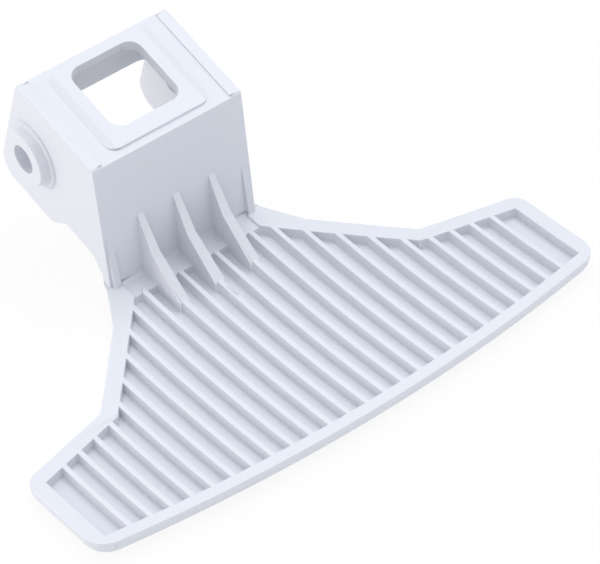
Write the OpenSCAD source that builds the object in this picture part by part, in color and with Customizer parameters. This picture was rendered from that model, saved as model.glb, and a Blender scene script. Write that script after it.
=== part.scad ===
// Handle of a tumble dryer door, moulded in one piece of white plastic.
// The fingers pull a wing with a rim and a comb of ribs. Behind the wing stands a hollow housing with a window
// in its sloping top, open below and behind, which turns on a pin through a boss on each side wall.
// The origin lies on the hinge axis, midway between the side walls. X runs along that axis, the pulling edge
// is on the -Y side, and the handle lies on the smooth outside of the wing with its ribs upwards.

/* [Wing] */
// radius of the ribbed surface, which is hollow from front to back
wing_radius = 350; // [300:10:420]
// distance from the hinge axis forward to the lowest line of the wing
wing_low_y = 57.4; // [55:0.2:60]
// depth of the ribbed surface's lowest line below the hinge axis
wing_low_z = 23.3; // [23:0.1:24.2]
// thickness of the wing over its rim
wing_thick = 4; // [3.6:0.1:4.6]
// thickness of the wing's floor between the ribs
floor_thick = 1.6; // [1.2:0.1:1.9]
// half the width of the wing
wing_half = 62.5; // [61:0.5:64]
// distance from the hinge axis forward to the middle of the pulling edge
pull_y = 86.8; // [85:0.2:89]
// radius of the pulling edge, seen from above
pull_radius = 337; // [300:1:400]
// distance from the hinge axis forward to the wing's corner at the tip
tip_y = 56; // [54.5:0.1:58]
// distance from the middle out to the waist, where the neck meets the tip
waist_x = 40.4; // [38.5:0.1:42]
// distance from the hinge axis forward to the waist
waist_y = 50.2; // [49:0.1:51.5]
// distance from the middle out to the bend in the neck's edge
bend_x = 24.5; // [24:0.1:25.5]
// distance from the hinge axis forward to that bend
bend_y = 32.2; // [31:0.1:33]
// distance that the neck stands out beside the housing at the front wall
neck_out = 0.9; // [0.5:0.1:1.4]
// radius that the rolled edge turns with at the waist
waist_r = 2.7; // [1.5:0.1:4]
// radius of the corner at the tip
tip_r = 4; // [3.6:0.1:5]
// radius of the corner at the end of the pulling edge
pull_r = 5.6; // [4:0.1:7]
// roll of the wing's outer edge, on the smooth side
edge_roll = 3; // [2:0.1:3.4]

/* [Rim] */
// width of the rim along the pulling edge
rim_pull = 2.9; // [2.4:0.1:3.4]
// width of the rim at the ends
rim_end = 3.3; // [2.4:0.1:3.4]
// width of the rim along the tips
rim_tip = 3.4; // [2.6:0.1:3.6]
// width of the rim along the neck
rim_side = 3.5; // [3:0.1:4]
// length of the plain foot between the housing and the grooves
foot_length = 4.9; // [4.2:0.1:5.6]
// drop of the plain foot below the rim
foot_drop = 0.5; // [0.3:0.1:0.8]

/* [Ribs] */
// number of ribs
rib_count = 25; // [21:2:25]
// distance from rib to rib
rib_pitch = 4.5; // [4.4:0.05:4.6]
// width of a rib at its top
rib_top = 1.1; // [0.9:0.1:1.3]
// width of a rib at the wing's floor
rib_base = 1.7; // [1.5:0.1:2]

/* [Housing] */
// width of the housing over its side walls
body_w = 37; // [36.4:0.2:38]
// thickness of each side wall
side_thick = 2; // [1.6:0.1:2.4]
// thickness of the front wall
front_thick = 2.4; // [2:0.1:2.8]
// thickness of the sloping top
top_thick = 2.1; // [1.8:0.1:2.6]
// thickness of the skirt behind the top
skirt_thick = 2; // [1.6:0.1:2.4]
// distance from the hinge axis forward to the front wall
front_y = 22.9; // [22.4:0.1:23.4]
// height of the top's front edge above the hinge axis
front_top_z = 9.3; // [8.6:0.1:10]
// distance of the top's back edge behind the hinge axis
back_y = 2.4; // [1.8:0.1:3]
// height of the top's back edge above the hinge axis
back_top_z = 16.7; // [16:0.1:17.4]
// distance of the side wall's lowest back corner behind the hinge axis
heel_y = 14.7; // [14:0.1:15.4]
// depth of that corner below the hinge axis
heel_z = 11.3; // [10.8:0.1:12]
// rounding of that corner
heel_r = 4.5; // [3:0.1:5.5]
// rounding of the top's back edge
back_r = 1.4; // [0.8:0.1:1.6]
// rounding of the top's front edge
front_r = 0.8; // [0.4:0.1:1]
// height of the skirt's lower edge above the hinge axis
skirt_z = 4; // [3.6:0.1:5]
// rounding where the skirt's edge meets the side walls
skirt_r = 5; // [3:0.1:6]
// fillet at the foot of the front wall
foot_r = 1.2; // [0.8:0.1:1.6]

/* [Top] */
// width of the window
window_w = 16.9; // [16:0.1:18]
// length of the window along the slope
window_l = 17.6; // [16.6:0.1:18]
// distance along the slope from the back edge to the window
window_start = 3.1; // [2.9:0.1:3.4]
// corner radius of the window
window_r = 3; // [2:0.1:4]
// width of the raised strip along each side of the top
strip_w = 2.5; // [2:0.1:3]
// depth of the field between the strips
field_drop = 0.35; // [0.2:0.05:0.5]
// width of the raised pad around the window
pad_w = 22; // [21:0.1:23]
// distance along the slope from the back edge to the pad's front edge
pad_end = 24.6; // [23.8:0.1:24.8]
// rise of the pad above the field
pad_rise = 0.6; // [0.4:0.05:0.8]
// width of the slope along each side of the pad
pad_bevel = 1.6; // [1:0.1:2]

/* [Hinge] */
// diameter of the hole for the hinge pin
bore_d = 6.5; // [6:0.1:7]
// diameter of a boss at its end
boss_d = 12.4; // [12:0.1:13]
// diameter of a boss where it leaves the side wall
boss_base_d = 13.4; // [13:0.1:14]
// length that a boss stands out
boss_out = 2.5; // [2:0.1:3]
// diameter of the low step around a boss
step_d = 15.6; // [15:0.1:16.2]
// height of that step
step_out = 0.5; // [0.4:0.1:0.8]

/* [Gussets] */
// height of a gusset up the front wall, over the ribbed surface's lowest line
gusset_h = 16.2; // [15:0.1:17]
// distance from the front wall to the bend in a gusset's edge
gusset_bend_y = 4.1; // [3.6:0.1:4.6]
// height of that bend over the ribbed surface's lowest line
gusset_bend_z = 8.1; // [7.6:0.1:8.6]
// distance from the front wall to a gusset's tip on the ribs
gusset_l = 12.6; // [12:0.1:13.2]
// thickness of a gusset at its top
gusset_top = 1.5; // [1.2:0.1:1.8]
// thickness of a gusset at the wing's floor
gusset_base = 2.8; // [2.4:0.1:3.2]
// height of the small fin in each corner of the front wall, over the lowest line
fin_h = 14.5; // [13:0.1:15.5]
// distance that a fin stands out at its foot
fin_out = 1; // [0.8:0.1:1.6]

/* [Hidden] */
far = 40;
// a rounding reaches this far past the faces that it joins, so that the surfaces cross cleanly
past = 0.005;
deck_y = -wing_low_y;
deck_z = wing_radius - wing_low_z;
under_radius = wing_radius + wing_thick;
rib_h = wing_thick - floor_thick;
body_half = body_w / 2;
slope_a = atan2(back_top_z - front_top_z, back_y + front_y);
slope_l = norm([back_y + front_y, back_top_z - front_top_z]);

// corners of the housing's side, as [y, z]
p_back = [back_y, back_top_z];
p_front = [-front_y, front_top_z];
p_heel = [heel_y, -heel_z];
p_step_low = [-2, -heel_z - (heel_y + 2) * tan(slope_a)];
p_step_mid = [p_step_low[0] - 1.7, p_step_low[1] + 0.1];
p_step_top = [p_step_mid[0] - 5.2, p_step_mid[1] + 2.8];
p_toe = [front_thick + 2.4 - front_y, p_step_top[1] - 2.6];
p_root = [front_thick - front_y, -wing_low_z + 3.4];
skirt_dir = unit(p_back - p_heel);
skirt_in = [-skirt_dir[1], skirt_dir[0]];

// corners of the wing's right half, as [x, y]
w_root = [body_half, front_thick - front_y];
w_neck = [body_half + neck_out, -front_y];
w_bend = [bend_x, -bend_y];
w_waist = [waist_x, -waist_y];
w_tip = [wing_half, -tip_y];
w_end = [wing_half, -pull_y];
pull_centre = [0, pull_radius - pull_y];
pull_corner = [wing_half - pull_r, pull_centre[1] - sqrt(pow(pull_radius - pull_r, 2) - pow(wing_half - pull_r, 2))];
pull_angle = asin(pull_corner[0] / (pull_radius - pull_r));

// lines of the grooves' outline
groove_y = -front_y - foot_length;
i_side = inset_line(w_bend, w_waist, rim_side);
i_tip = inset_line(w_waist, w_tip, rim_tip);
i_waist = cross_point(i_side, i_tip);
i_neck = cross_point(i_side, [[0, groove_y], [1, 0]]);
i_end = cross_point(i_tip, [[wing_half - rim_end, 0], [0, 1]]);

function unit(v) = v / norm(v);
function turned(v) = [-v[1], v[0]];
function mirrored(p) = [-p[0], p[1]];
// a line is [a point, its direction]
function inset_line(a, b, d) = [a - turned(unit(b - a)) * d, unit(b - a)];
function cross_2d(a, b) = a[0] * b[1] - a[1] * b[0];
function cross_point(m, n) = m[0] + m[1] * cross_2d(n[0] - m[0], n[1]) / cross_2d(m[1], n[1]);
// half the angle at corner p between its neighbours a and b
function half_angle(p, a, b) = acos(unit(a - p) * unit(b - p)) / 2;
function round_centre(p, a, b, r) = p + unit(unit(a - p) + unit(b - p)) * r / sin(half_angle(p, a, b));
function round_start(p, a, b, r) = p + unit(a - p) * r / tan(half_angle(p, a, b));
function heading(v) = atan2(v[1], v[0]);
// height and slope of the wing's smooth side at a distance y
function under_z(y) = deck_z - sqrt(under_radius * under_radius - pow(y - deck_y, 2));
function under_slope(y) = asin((y - deck_y) / under_radius);

// the area between a corner and the arc that rounds it
module corner_area(p, a, b, r) {
    c = round_centre(p, a, b, r);
    difference() {
        polygon([for (q = [p, round_start(p, a, b, r), c, round_start(p, b, a, r)]) c + 1.3 * (q - c)]);
        translate(c)
            circle(r = r + past, $fn = 48);
    }
}

// a shape drawn in the [y, z] plane, extruded along X from x0 over the length w
module along_x(x0, w) {
    translate([x0, 0, 0])
        rotate([90, 0, 90])
            linear_extrude(height = w)
                children();
}

// a ring around the line that the wing's surface is centred on, from a shape drawn as [radius, x]
module around_deck() {
    translate([0, deck_y, deck_z])
        rotate([0, 90, 0])
            rotate([0, 0, -7])
                rotate_extrude(angle = 15, $fn = 360)
                    children();
}

// the wing's outline before its corners are rounded
module wing_outline() {
    intersection() {
        polygon([
            w_root, w_neck, w_bend, w_waist, w_tip, w_end,
            mirrored(w_end), mirrored(w_tip), mirrored(w_waist), mirrored(w_bend), mirrored(w_neck), mirrored(w_root)
        ]);
        translate(pull_centre)
            circle(r = pull_radius, $fn = 360);
    }
}

// what the corners' rounding takes away, from top to bottom
module corner_cuts() {
    for (s = [0, 1])
        mirror([s, 0, 0])
            translate([0, 0, -2 * far])
                linear_extrude(height = 2 * far) {
                    corner_area(w_tip, w_waist, w_end, tip_r);
                    difference() {
                        translate([pull_corner[0], pull_corner[1] - 2 * pull_r])
                            square([pull_r + 1, 2 * pull_r]);
                        translate(pull_corner)
                            circle(r = pull_r + past, $fn = 64);
                        polygon([
                            pull_corner,
                            pull_corner + 4 * pull_r * [sin(pull_angle), -cos(pull_angle)],
                            pull_corner + [0, -4 * pull_r]
                        ]);
                    }
                }
}

// section of what the rolled edge takes away: [outwards, up], with the edge at 0 and the smooth side at 0
module roll_section() {
    r = edge_roll;
    polygon([
        [-r, -2], [-r, 0], for (a = [22.5, 45, 67.5]) [-r + r * sin(a), r - r * cos(a)], [0, r], [2, r + 2], [2, -2]
    ]);
}

// sets a shape that lies flat in plan onto the smooth side's slope at the distance y
module on_under(y) {
    translate([0, y, under_z(y)])
        rotate([under_slope(y), 0, 0])
            translate([0, -y, 0])
                children();
}

// the roll along a straight edge, reaching past its two ends by the given lengths
module roll_line(a, b, before, after) {
    d = b - a;
    on_under((a[1] + b[1]) / 2)
        translate([a[0], a[1], 0])
            rotate([0, 0, atan2(d[0], -d[1])])
                rotate([90, 0, 0])
                    translate([0, 0, -before])
                        linear_extrude(height = before + norm(d) + after)
                            roll_section();
}

// the roll around an outer corner, from one heading over an angle
module roll_bend(c, r, from, over) {
    on_under(c[1])
        translate([c[0], c[1], 0])
            rotate([0, 0, from])
                rotate_extrude(angle = over, $fn = 64)
                    translate([r, 0])
                        roll_section();
}

// the roll around an inner corner p between its neighbours a and b
module roll_hollow(p, a, b) {
    from = heading(turned(unit(p - a)));
    over = heading(turned(unit(b - p))) - from;
    on_under(p[1])
        translate(round_centre(p, a, b, waist_r))
            rotate([0, 0, from + 180 - (over > 0 ? 2 : -2)])
                rotate_extrude(angle = over + (over > 0 ? 4 : -4), $fn = 64)
                    translate([waist_r, 0])
                        mirror([1, 0])
                            roll_section();
}

module both_sides() {
    for (s = [0, 1])
        mirror([s, 0, 0])
            children();
}

module pull_roll() {
    on_under(-pull_y + 2)
        translate([0, pull_centre[1], 0])
            rotate([0, 0, -90 - pull_angle - 0.1])
                rotate_extrude(angle = 2 * pull_angle + 0.2, $fn = 360)
                    translate([pull_radius, 0])
                        roll_section();
}

// the wing's plate, with its corners rounded
module wing_plate() {
    difference() {
        intersection() {
            translate([0, 0, -2 * far])
                linear_extrude(height = 2 * far)
                    wing_outline();
            around_deck()
                translate([wing_radius, -wing_half - 1])
                    square([wing_thick, 2 * wing_half + 2]);
        }
        corner_cuts();
    }
}

// the wing with its outer edge rolled on the smooth side, before the grooves
module wing_blank() {
    lap = 0.5;
    difference() {
        wing_plate();
        both_sides()
            roll_line(w_root, w_neck, 1, 0.3);
        both_sides()
            roll_line(w_neck, w_bend, 0.2, 0.4);
        both_sides()
            roll_line(w_bend, round_start(w_waist, w_bend, w_tip, waist_r), 0.4, 0);
        both_sides()
            roll_hollow(w_waist, w_bend, w_tip);
        both_sides()
            roll_line(
                round_start(w_waist, w_tip, w_bend, waist_r), round_start(w_tip, w_waist, w_end, tip_r), 0, lap
            );
        both_sides()
            roll_bend(
                round_centre(w_tip, w_waist, w_end, tip_r), tip_r, 0, heading(turned(unit(w_tip - w_waist)))
            );
        both_sides()
            roll_line(round_start(w_tip, w_end, w_waist, tip_r), [wing_half, pull_corner[1]], lap, lap);
        both_sides()
            roll_bend(pull_corner, pull_r, pull_angle - 90, 90 - pull_angle);
        pull_roll();
    }
}

// the grooves between the ribs, which leave the rim, the ribs and the floor standing
module grooves() {
    half = (rib_count - 1) / 2;
    draft = (rib_base - rib_top) / 2 / rib_h;
    intersection() {
        translate([0, 0, -2 * far])
            linear_extrude(height = 2 * far)
                intersection() {
                    polygon([i_neck, i_waist, i_end, [i_end[0], -pull_y], [-i_end[0], -pull_y],
                        mirrored(i_end), mirrored(i_waist), mirrored(i_neck)]);
                    translate(pull_centre)
                        circle(r = pull_radius - rim_pull, $fn = 360);
                }
        around_deck()
            for (i = [-half - 1 : half]) {
                lo = i < -half ? -wing_half : i * rib_pitch;
                hi = i == half ? wing_half : (i + 1) * rib_pitch;
                polygon([
                    [wing_radius - 1, lo + rib_top / 2 - draft],
                    [wing_radius + rib_h, lo + rib_base / 2],
                    [wing_radius + rib_h, hi - rib_base / 2],
                    [wing_radius - 1, hi - rib_top / 2 + draft]
                ]);
            }
    }
}

// the plain foot in front of the housing lies a little lower than the rims beside it
module foot_recess() {
    intersection() {
        translate([0, 0, -2 * far])
            linear_extrude(height = 2 * far)
                polygon([
                    [body_half - side_thick - 0.6, -front_y], i_neck, mirrored(i_neck),
                    [0.6 + side_thick - body_half, -front_y]
                ]);
        around_deck()
            polygon([
                [wing_radius - 1, -body_half], [wing_radius + foot_drop, -body_half],
                [wing_radius + foot_drop, body_half], [wing_radius - 1, body_half]
            ]);
    }
}

module wing() {
    difference() {
        wing_blank();
        grooves();
        foot_recess();
    }
}

module housing_side() {
    difference() {
        polygon([
            p_back, p_heel, p_step_low, p_step_mid, p_step_top, p_toe, p_root,
            [p_root[0], 1.1 - wing_low_z], [-front_y, 1.1 - wing_low_z], p_front
        ]);
        corner_area(p_back, p_front, p_heel, back_r);
        corner_area(p_heel, p_back, p_step_low, heel_r);
        corner_area(p_front, p_back, [-front_y, -front_top_z], front_r);
    }
}

// the room inside the housing, up to the skirt
module inner_room() {
    slope = [cos(slope_a), sin(slope_a)];
    top_line = [p_front + turned(slope) * -(top_thick + field_drop), slope];
    skirt_line = [p_back + skirt_in * skirt_thick, skirt_dir];
    low_line = [[0, -far], [1, 0]];
    front_line = [[front_thick - front_y, 0], [0, 1]];
    along_x(side_thick - body_half, body_w - 2 * side_thick)
        polygon([
            cross_point(front_line, top_line), cross_point(top_line, skirt_line),
            cross_point(skirt_line, low_line), cross_point(front_line, low_line)
        ]);
}

// the doorway below the skirt, with rounded upper corners
module doorway() {
    half = body_half - side_thick;
    translate([0, 0, skirt_z])
        rotate([90, 0, 180])
            translate([0, 0, -2])
                linear_extrude(height = far)
                    union() {
                        translate([skirt_r - half, -far])
                            square([2 * (half - skirt_r), far]);
                        translate([-half, -far])
                            square([2 * half, far - skirt_r]);
                        for (s = [-1, 1])
                            translate([s * (half - skirt_r), -skirt_r])
                                circle(r = skirt_r, $fn = 48);
                    }
}

// things laid out on the sloping top: x across, y forward from the back edge, z out of the top
module on_top() {
    translate([0, back_y, back_top_z])
        rotate([slope_a, 0, 0])
            mirror([0, 1, 0])
                children();
}

module rounded_area(w, l, r) {
    union() {
        translate([-w / 2, r])
            square([w, l - 2 * r]);
        translate([r - w / 2, 0])
            square([w - 2 * r, l]);
        for (x = [r - w / 2, w / 2 - r])
            for (y = [r, l - r])
                translate([x, y])
                    circle(r = r, $fn = 48);
    }
}

// the raised pad around the window, with sloping sides
module pad() {
    start = back_r + 0.4;
    level = pad_rise - field_drop;
    on_top()
        intersection() {
            translate([0, start, -1])
                linear_extrude(height = 1 + level)
                    rounded_area(pad_w + 2 * pad_bevel, pad_end - start, 2.6);
            translate([0, 0, 0])
                rotate([-90, 0, 0])
                    linear_extrude(height = slope_l)
                        polygon([
                            [-pad_w / 2 - pad_bevel, 1], [-pad_w / 2 - pad_bevel, field_drop - 0.05],
                            [-pad_w / 2, -level], [pad_w / 2, -level],
                            [pad_w / 2 + pad_bevel, field_drop - 0.05], [pad_w / 2 + pad_bevel, 1]
                        ]);
        }
}

module bosses() {
    for (s = [0, 1])
        mirror([s, 0, 0])
            translate([body_half - 1, 0, 0])
                rotate([0, 90, 0]) {
                    cylinder(d = step_d, h = 1 + step_out, $fn = 64);
                    translate([0, 0, 1])
                        cylinder(d1 = boss_base_d, d2 = boss_d, h = boss_out, $fn = 64);
                }
}

module gussets() {
    wall = -front_y + 1;
    tip = -front_y - gusset_l;
    floor_z = -wing_low_z - rib_h;
    for (i = [-1 : 1])
        translate([2 * i * rib_pitch, 0, 0])
            intersection() {
                along_x(-gusset_base, 2 * gusset_base)
                    polygon([
                        [wall, gusset_h - wing_low_z + 2.2], [-front_y, gusset_h - wing_low_z],
                        [-front_y - gusset_bend_y, gusset_bend_z - wing_low_z],
                        [tip, 0.5 - wing_low_z], [tip, under_z(tip) + floor_thick / 2],
                        [wall, under_z(wall) + floor_thick / 2]
                    ]);
                rotate([90, 0, 0])
                    linear_extrude(height = 2 * far)
                        polygon([
                            [-gusset_base / 2, floor_z - 1], [gusset_base / 2, floor_z - 1],
                            [gusset_top / 2, gusset_h - wing_low_z + 3], [-gusset_top / 2, gusset_h - wing_low_z + 3]
                        ]);
            }
}

module fins() {
    for (s = [0, 1])
        mirror([s, 0, 0])
            along_x(body_half - side_thick - 0.2, side_thick - 0.4)
                polygon([
                    [1 - front_y, fin_h - wing_low_z], [-front_y, fin_h - wing_low_z],
                    [-front_y - fin_out, 2.2 - wing_low_z], [-front_y - fin_out, 1.1 - wing_low_z],
                    [1 - front_y, 1.1 - wing_low_z]
                ]);
}

module foot_fillet() {
    z = 1.55 - wing_low_z - foot_drop;
    along_x(side_thick - body_half, body_w - 2 * side_thick)
        difference() {
            polygon([[1 - front_y, z - 1], [-front_y - foot_r, z - 1], [-front_y - foot_r, z], [-front_y, z + foot_r],
                [1 - front_y, z + foot_r]]);
            translate([-front_y - foot_r, z + foot_r])
                circle(r = foot_r, $fn = 48);
        }
}

module housing() {
    difference() {
        union() {
            difference() {
                along_x(-body_half, body_w)
                    housing_side();
                on_top()
                    translate([strip_w - body_half, -2, -field_drop])
                        cube([body_w - 2 * strip_w, slope_l + 4, 2]);
            }
            pad();
            bosses();
        }
        inner_room();
        doorway();
        on_top()
            translate([0, window_start, -far / 2])
                linear_extrude(height = far)
                    rounded_area(window_w, window_l, window_r);
        translate([-far, 0, 0])
            rotate([0, 90, 0])
                cylinder(d = bore_d, h = 2 * far, $fn = 64);
    }
}

module handle() {
    color([0.93, 0.94, 0.97])
        union() {
            wing();
            housing();
            gussets();
            fins();
            foot_fillet();
        }
}

handle();
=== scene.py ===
import logging
from dataclasses import dataclass
from enum import Enum
from typing import Any, Generic, Sequence, TypeVar

import bmesh
import bpy
import numpy as np
from mathutils import Matrix, Vector


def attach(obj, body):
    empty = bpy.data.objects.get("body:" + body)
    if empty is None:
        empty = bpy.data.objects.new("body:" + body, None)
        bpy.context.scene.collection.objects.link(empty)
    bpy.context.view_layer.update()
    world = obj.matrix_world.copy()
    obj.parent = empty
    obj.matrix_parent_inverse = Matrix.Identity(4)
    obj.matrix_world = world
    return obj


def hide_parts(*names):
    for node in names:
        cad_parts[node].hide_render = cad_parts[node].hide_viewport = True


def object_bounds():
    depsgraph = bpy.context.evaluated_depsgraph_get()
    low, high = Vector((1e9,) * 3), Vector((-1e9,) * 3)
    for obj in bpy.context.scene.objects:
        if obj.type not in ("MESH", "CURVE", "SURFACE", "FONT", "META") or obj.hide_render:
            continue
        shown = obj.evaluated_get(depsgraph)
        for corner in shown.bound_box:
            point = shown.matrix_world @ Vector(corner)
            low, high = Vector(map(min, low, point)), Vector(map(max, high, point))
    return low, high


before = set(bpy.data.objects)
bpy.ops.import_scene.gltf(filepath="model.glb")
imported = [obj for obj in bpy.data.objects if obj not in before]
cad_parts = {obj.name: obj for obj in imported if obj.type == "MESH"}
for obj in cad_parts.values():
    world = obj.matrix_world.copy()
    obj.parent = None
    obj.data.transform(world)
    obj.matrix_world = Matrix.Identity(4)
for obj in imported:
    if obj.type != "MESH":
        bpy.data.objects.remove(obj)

# Lengths are in metres, angles in radians, lamp powers in watts and colours in linear light.
CAD_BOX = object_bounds()
NODE = "handle"
log = logging.getLogger("handle_scene")

Vec3 = tuple[float, float, float]
Colour = tuple[float, float, float, float]
Block = TypeVar("Block", bpy.types.Material, bpy.types.World)

WHITE: Colour = (1.0, 1.0, 1.0, 1.0)

# The Mix node's colour sockets share their names with its number sockets, so they go by index.
MIX_FIRST = 6
MIX_SECOND = 7
MIX_RESULT = 2


class Surface(Enum):
    """The two kinds of surface that the scene has."""

    MOULDED = "moulded plastic"
    BACKDROP = "white backdrop"


class Socket:
    """A node's output, with Python operators that add Math nodes."""

    def __init__(self, shader: "Shader", output: bpy.types.NodeSocket) -> None:
        """Keeps the tree's builder and the output that this object stands for."""
        self.shader = shader
        self.output = output

    def _math(self, operation: str, a: Any, b: Any) -> "Socket":
        """Adds one Math node on two values or sockets."""
        return self.shader.node("ShaderNodeMath", {"operation": operation}, {0: a, 1: b})

    def __add__(self, other: Any) -> "Socket":
        """Sum."""
        return self._math("ADD", self, other)

    def __radd__(self, other: Any) -> "Socket":
        """Sum, with the number on the left."""
        return self._math("ADD", other, self)

    def __sub__(self, other: Any) -> "Socket":
        """Difference."""
        return self._math("SUBTRACT", self, other)

    def __rsub__(self, other: Any) -> "Socket":
        """Difference, with the number on the left."""
        return self._math("SUBTRACT", other, self)

    def __mul__(self, other: Any) -> "Socket":
        """Product."""
        return self._math("MULTIPLY", self, other)

    def __rmul__(self, other: Any) -> "Socket":
        """Product, with the number on the left."""
        return self._math("MULTIPLY", other, self)


class Shader(Generic[Block]):
    """Builds the node tree of one material or of the world."""

    def __init__(self, block: Block, output_kind: str) -> None:
        """Empties the block's tree and adds its output node.

        Args:
            block: the new material or world.
            output_kind: the type of its output node.
        """
        block.use_nodes = True
        self.block = block
        self.tree = block.node_tree
        self.tree.nodes.clear()
        self.out = self.tree.nodes.new(output_kind)

    def raw(self, kind: str, settings: dict[str, Any], inputs: dict[Any, Any]) -> bpy.types.Node:
        """Adds a node, sets it up and links it.

        Args:
            kind: the node's type.
            settings: the node's properties, which are set first.
            inputs: values or sockets, by input name or index.

        Returns:
            The node.
        """
        made = self.tree.nodes.new(kind)
        for key, value in settings.items():
            setattr(made, key, value)
        for key, value in inputs.items():
            if isinstance(value, Socket):
                self.tree.links.new(value.output, made.inputs[key])
            else:
                made.inputs[key].default_value = value
        return made

    def node(
            self, kind: str, settings: dict[str, Any], inputs: dict[Any, Any],
            output: int | str = 0) -> Socket:
        """Adds a node as raw does and hands back its output of that name or index."""
        return Socket(self, self.raw(kind, settings, inputs).outputs[output])

    def blend(self, share: Any, first: Any, second: Any) -> Socket:
        """Blends two colours, of which the second shows by the share."""
        return self.node(
            "ShaderNodeMix", {"data_type": "RGBA"},
            {"Factor": share, MIX_FIRST: first, MIX_SECOND: second}, MIX_RESULT)

    def choose(self, share: Any, first: Socket, second: Socket) -> Socket:
        """Blends two shaders, of which the second shows by the share."""
        return self.node("ShaderNodeMixShader", {}, {0: share, 1: first, 2: second})

    def close(self, shader: Socket) -> Block:
        """Links the finished shader to the output node and hands back the material or world."""
        self.tree.links.new(shader.output, self.out.inputs["Surface"])
        return self.block


def material_shader(surface: Surface) -> Shader[bpy.types.Material]:
    """Starts the material of a surface."""
    return Shader(bpy.data.materials.new(surface.value), "ShaderNodeOutputMaterial")


@dataclass(frozen=True)
class Unevenness:
    """A noise pattern on the moulding: how many spots to a metre, and how finely they break up."""

    scale: float
    detail: float
    rough: float

    def make(self, s: Shader, place: Socket) -> Socket:
        """Adds the pattern's node.

        Args:
            s: the material's builder.
            place: the coordinates that it follows.

        Returns:
            The pattern, from 0 to 1.
        """
        return s.node(
            "ShaderNodeTexNoise", {},
            {"Vector": place, "Scale": self.scale, "Detail": self.detail, "Roughness": self.rough}, "Fac")


@dataclass(frozen=True)
class MouldedPlastic:
    """Finish of the handle: satin white plastic, with a faint grain and light wear along its edges."""

    base: Colour = (0.735, 0.750, 0.795, 1.0)
    refraction: float = 1.5
    specular: float = 0.42
    rough: float = 0.38
    rough_spread: float = 0.10
    # Slight changes of colour and shine over the whole part.
    mottle: Unevenness = Unevenness(scale=38.0, detail=4.0, rough=0.55)
    mottle_tint: Colour = (0.70, 0.715, 0.765, 1.0)
    mottle_share: float = 0.16
    smudge: Unevenness = Unevenness(scale=228.0, detail=3.0, rough=0.6)
    # The tool's fine grain and the slow waves that shrinking leaves.
    grain: Unevenness = Unevenness(scale=2600.0, detail=2.0, rough=0.5)
    grain_depth: float = 0.000012
    grain_strength: float = 0.5
    wave: Unevenness = Unevenness(scale=55.0, detail=1.0, rough=0.4)
    wave_depth: float = 0.00006
    wave_strength: float = 0.6
    # Lighter and smoother edges from wear, and painted shade that darkens the creases towards blue-grey.
    probes: int = 8
    edge_reach: float = 0.0004
    worn: Colour = (0.800, 0.810, 0.835, 1.0)
    worn_share: float = 0.35
    worn_smudge: float = 0.4
    worn_shine: float = 0.05
    painted_shade_reach: float = 0.006
    painted_crease_shade: Colour = (0.560, 0.590, 0.690, 1.0)
    painted_shade_share: float = 0.08

    def make(self) -> bpy.types.Material:
        """Builds the material.

        Returns:
            The material, which reads Object coordinates only.
        """
        s = material_shader(Surface.MOULDED)
        place = s.node("ShaderNodeTexCoord", {}, {}, "Object")
        smudge = self.smudge.make(s, place)
        edges = self._near(s, self.edge_reach, True)
        crease_shade_mask = self._near(s, self.painted_shade_reach, False)
        # Painted shade: the creases are tinted darker and bluer, where shade falls in them.
        tint = s.blend(crease_shade_mask * self.painted_shade_share, self.base, self.painted_crease_shade)
        tint = s.blend(edges * (self.worn_share + self.worn_smudge * smudge), tint, self.worn)
        tint = s.blend(self.mottle.make(s, place) * self.mottle_share, tint, self.mottle_tint)
        # The smudges' pattern has its middle at 0.5, which leaves the roughness as it is.
        rough = self.rough + (smudge - 0.5) * self.rough_spread - edges * self.worn_shine
        fine = s.node(
            "ShaderNodeBump", {},
            {
                "Height": self.grain.make(s, place), "Strength": self.grain_strength,
                "Distance": self.grain_depth,
            })
        bump = s.node(
            "ShaderNodeBump", {},
            {
                "Height": self.wave.make(s, place), "Strength": self.wave_strength,
                "Distance": self.wave_depth, "Normal": fine,
            })
        return s.close(s.node(
            "ShaderNodeBsdfPrincipled", {},
            {
                "Base Color": tint, "Roughness": rough, "Normal": bump, "IOR": self.refraction,
                "Specular IOR Level": self.specular,
            }))

    def _near(self, s: Shader, reach: float, inside: bool) -> Socket:
        """Finds the edges or creases of the part's own shape with an Ambient Occlusion node.

        Args:
            s: the material's builder.
            reach: how far it looks.
            inside: True looks into the solid and finds edges, and False looks out and finds creases.

        Returns:
            The share of the short rays that meet the surface again.
        """
        return 1.0 - s.node(
            "ShaderNodeAmbientOcclusion", {"samples": self.probes, "inside": inside, "only_local": True},
            {"Distance": reach}, "AO")


@dataclass(frozen=True)
class WhiteBackdrop:
    """Finish of the floor: white to the camera and in reflections, with a faint shadow.

    It is clear from below, so that the handle's smooth side can be seen.
    """

    shade: Colour = (0.88, 0.88, 0.88, 1.0)
    shadow_share: float = 0.10

    def make(self) -> bpy.types.Material:
        """Builds the material.

        Returns:
            The material.
        """
        s = material_shader(Surface.BACKDROP)
        cloth = s.node("ShaderNodeBsdfDiffuse", {}, {"Color": self.shade})
        white = s.node("ShaderNodeEmission", {}, {"Color": WHITE, "Strength": 1.0})
        ray = s.raw("ShaderNodeLightPath", {}, {})
        seen = Socket(s, ray.outputs["Is Camera Ray"]) + Socket(s, ray.outputs["Is Glossy Ray"])
        seen = s.node("ShaderNodeMath", {"operation": "MINIMUM"}, {0: seen, 1: 1.0})
        front = s.choose(seen * (1.0 - self.shadow_share), cloth, white)
        below = s.node("ShaderNodeNewGeometry", {}, {}, "Backfacing")
        return s.close(s.choose(below, front, s.node("ShaderNodeBsdfTransparent", {}, {})))


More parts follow.
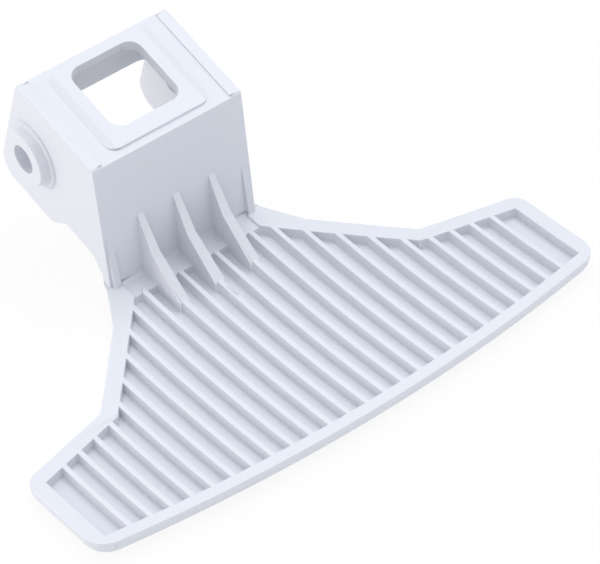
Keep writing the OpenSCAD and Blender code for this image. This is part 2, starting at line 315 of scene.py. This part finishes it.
@dataclass
class Handle:
    """The moulded handle: the CAD node's own shape with its long edges rounded as a mould leaves them."""

    edge_width: float = 0.00015
    edge_steps: int = 2
    # An edge is rounded if it is this sharp and long, and no edge at its ends is shorter than the room.
    sharp_angle: float = 0.42
    least_length: float = 0.0009
    least_room: float = 0.00036
    # Faces that meet at more than this are shaded with a crease.
    crease_angle: float = 0.61
    # Corners this near are one corner, and triangles this flat to each other are one face.
    merge_reach: float = 1e-7
    flat_angle: float = 0.0025
    finish: MouldedPlastic = MouldedPlastic()

    def build(self) -> bpy.types.Object:
        """Makes the softened moulding in place of the CAD node.

        Returns:
            The piece.
        """
        piece = bpy.data.objects.new("moulding", self._merged_mesh())
        bpy.context.scene.collection.objects.link(piece)
        self._soften(piece)
        self._shade(piece)
        piece.data.materials.clear()
        piece.data.materials.append(self.finish.make())
        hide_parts(NODE)
        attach(piece, "root")
        log.info("moulding: %d faces", len(piece.data.polygons))
        return piece

    def _merged_mesh(self) -> bpy.types.Mesh:
        """Copies the CAD node's loose triangles and joins them into whole flat faces.

        Returns:
            The closed mesh, with a weight of 1 on each edge that is to be rounded.
        """
        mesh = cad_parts[NODE].data.copy()
        mesh.name = "moulding"
        work = bmesh.new()
        work.from_mesh(mesh)
        bmesh.ops.remove_doubles(work, verts=work.verts, dist=self.merge_reach)
        bmesh.ops.dissolve_limit(
            work, angle_limit=self.flat_angle, verts=work.verts, edges=work.edges, delimit={"NORMAL"})
        angles = np.array([e.calc_face_angle(0.0) if e.is_manifold else 0.0 for e in work.edges])
        work.to_mesh(mesh)
        work.free()
        weights = self._edge_weights(mesh, angles)
        marks = mesh.attributes.new("bevel_weight_edge", "FLOAT", "EDGE")
        marks.data.foreach_set("value", weights.astype(np.float32))
        log.info("moulding: %d of %d edges rounded", int(weights.sum()), len(weights))
        return mesh

    def _edge_weights(self, mesh: bpy.types.Mesh, angles: np.ndarray) -> np.ndarray:
        """Picks the edges to round: sharp, long enough, and with only long edges at both ends.

        The room at a vertex is the length of its shortest edge, a minimum taken over every edge
        that ends there.

        Args:
            mesh: the merged mesh.
            angles: the angle between the two faces of each edge.

        Returns:
            1 for an edge to round and 0 for any other.
        """
        ends = np.empty(len(mesh.edges) * 2, np.int32)
        mesh.edges.foreach_get("vertices", ends)
        ends = ends.reshape(-1, 2)
        places = np.empty(len(mesh.vertices) * 3)
        mesh.vertices.foreach_get("co", places)
        places = places.reshape(-1, 3)
        lengths = np.linalg.norm(places[ends[:, 1]] - places[ends[:, 0]], axis=1)
        room = np.full(len(places), np.inf)
        np.minimum.at(room, ends.ravel(), np.repeat(lengths, 2))
        free = (room[ends] > self.least_room).all(axis=1)
        return ((angles > self.sharp_angle) & (lengths > self.least_length) & free).astype(float)

    def _soften(self, piece: bpy.types.Object) -> None:
        """Rounds the marked edges over a small width and keeps the result as the piece's mesh.

        Args:
            piece: the moulding.
        """
        bevel = piece.modifiers.new("edges", "BEVEL")
        bevel.width = self.edge_width
        bevel.segments = self.edge_steps
        bevel.limit_method = "WEIGHT"
        bevel.use_clamp_overlap = False
        piece.data = bpy.data.meshes.new_from_object(
            piece.evaluated_get(bpy.context.evaluated_depsgraph_get()))
        piece.modifiers.clear()

    def _shade(self, piece: bpy.types.Object) -> None:
        """Shades curved faces smooth and leaves the sharp edges sharp.

        Args:
            piece: the moulding.
        """
        piece.data.shade_smooth()
        piece.data.set_sharp_from_angle(angle=self.crease_angle)
        normals = piece.modifiers.new("shading", "WEIGHTED_NORMAL")
        normals.keep_sharp = True


@dataclass
class Floor:
    """A wide white floor under the handle."""

    half: float = 3.0
    gap: float = 0.00003
    finish: WhiteBackdrop = WhiteBackdrop()

    def build(self) -> bpy.types.Object:
        """Makes the floor: a square about the Z axis, just below the object's lowest point.

        Returns:
            The floor.
        """
        level = CAD_BOX[0].z - self.gap
        u = np.array([-1.0, 1.0, 1.0, -1.0]) * self.half
        v = np.array([-1.0, -1.0, 1.0, 1.0]) * self.half
        corners = np.column_stack([u, v, np.full_like(u, level)])
        mesh = bpy.data.meshes.new("floor")
        mesh.from_pydata(corners.tolist(), [], [(0, 1, 2, 3)])
        mesh.materials.append(self.finish.make())
        floor = bpy.data.objects.new("floor", mesh)
        bpy.context.scene.collection.objects.link(floor)
        log.info("floor at %.4f m", level)
        return floor


@dataclass(frozen=True)
class Lamp:
    """One soft round lamp, which looks at the handle."""

    name: str
    place: Vec3
    size: float
    power: float
    colour: Vec3

    def build(self, target: Vector) -> bpy.types.Object:
        """Makes the lamp.

        Args:
            target: the point that it looks at.

        Returns:
            The lamp.
        """
        data = bpy.data.lights.new(self.name, "AREA")
        data.shape = "DISK"
        data.size = self.size
        data.energy = self.power
        data.color = self.colour
        lamp = bpy.data.objects.new(self.name, data)
        lamp.location = self.place
        lamp.rotation_mode = "QUATERNION"
        lamp.rotation_quaternion = (target - Vector(self.place)).to_track_quat("-Z", "Y")
        bpy.context.scene.collection.objects.link(lamp)
        return lamp


@dataclass
class Studio:
    """Soft studio light: an even sky, a lamp above on the right and a warm one behind on the left."""

    sky: Colour = (0.93, 0.95, 1.0, 1.0)
    sky_level: float = 0.83
    lamps: Sequence[Lamp] = (
        Lamp(name="above", place=(0.30, 0.02, 1.10), size=0.9, power=5.1, colour=(0.96, 0.98, 1.0)),
        Lamp(name="back_left", place=(-0.90, 0.62, 0.12), size=0.7, power=5.0, colour=(1.0, 0.91, 0.86)),
    )

    def build(self) -> None:
        """Makes the world, which lights the handle with the sky and shows the camera white, and the lamps."""
        s = Shader(bpy.data.worlds.new("studio"), "ShaderNodeOutputWorld")
        lit = s.node("ShaderNodeBackground", {}, {"Color": self.sky, "Strength": self.sky_level})
        white = s.node("ShaderNodeBackground", {}, {"Color": WHITE, "Strength": 1.0})
        seen = s.node("ShaderNodeLightPath", {}, {}, "Is Camera Ray")
        bpy.context.scene.world = s.close(s.choose(seen, lit, white))
        target = (CAD_BOX[0] + CAD_BOX[1]) / 2
        for lamp in self.lamps:
            lamp.build(target)
        log.info("studio with %d lamps", len(self.lamps))


@dataclass(frozen=True)
class Viewpoint:
    """The camera, at the photograph's angle, for a frame of 600 by 564."""

    place: Vec3 = (-0.270301, -0.473833, 0.431627)
    right: Vec3 = (0.789465, -0.608375, -0.081398)
    up: Vec3 = (0.454683, 0.490564, 0.743378)
    forward: Vec3 = (0.412321, 0.623881, -0.663901)
    # The lens and the sensor are in millimetres, as in the camera's own settings.
    lens: float = 201.9445
    sensor: float = 36.0
    # What the camera shows lies between these distances.
    nearest: float = 0.01
    farthest: float = 20.0

    def build(self) -> bpy.types.Object:
        """Makes the camera.

        Returns:
            The camera, which is the scene's.
        """
        data = bpy.data.cameras.new("camera")
        data.lens = self.lens
        data.sensor_width = self.sensor
        data.clip_start = self.nearest
        data.clip_end = self.farthest
        camera = bpy.data.objects.new("camera", data)
        turn = Matrix((self.right, self.up, tuple(-c for c in self.forward))).transposed()
        camera.matrix_world = Matrix.Translation(self.place) @ turn.to_4x4()
        bpy.context.scene.collection.objects.link(camera)
        bpy.context.scene.camera = camera
        return camera


def main() -> None:
    """Builds the camera, the light, the floor and the handle in order."""
    logging.basicConfig(level=logging.INFO, format="%(name)s: %(message)s")
    bpy.context.scene.view_settings.view_transform = "Standard"
    Viewpoint().build()
    Studio().build()
    Floor().build()
    Handle().build()


if __name__ == "__main__":
    main()
